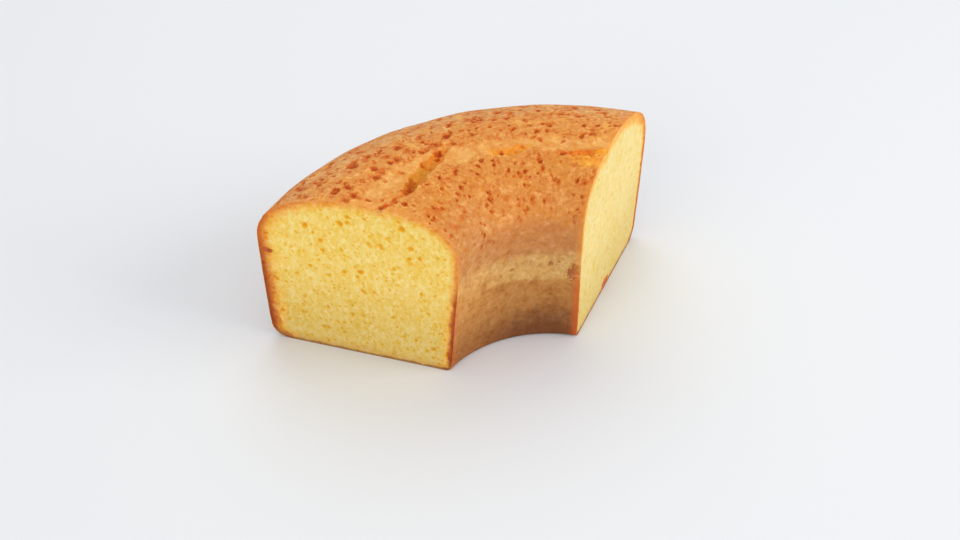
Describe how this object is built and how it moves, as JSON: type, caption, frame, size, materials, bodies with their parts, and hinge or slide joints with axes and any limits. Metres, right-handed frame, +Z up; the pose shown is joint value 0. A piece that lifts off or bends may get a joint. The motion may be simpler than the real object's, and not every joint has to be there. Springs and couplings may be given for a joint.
{
  "type": "cut piece of lemon ring cake",
  "caption": "Cut piece of a baked lemon ring cake, with a browned crust that has burst along its ridge, a yellow crumb on its cut faces and a flat base to stand on.",
  "frame": {"origin": "on the flat base, under the centre of the piece's bounding box", "axes": "+Z up; +Y away from the hole of the ring, through the middle of the piece; +X to the right along its longest side, seen from the hole"},
  "size_m": [0.1914, 0.0988, 0.0904],
  "materials": {
    "browned_crust": "orange-brown baked crust with small darker pits, matt with a faint sheen; the cut faces are a matt pale yellow crumb"
  },
  "bodies": {
    "root": {"ring_cake": "browned_crust"}
  },
  "joints": []
}
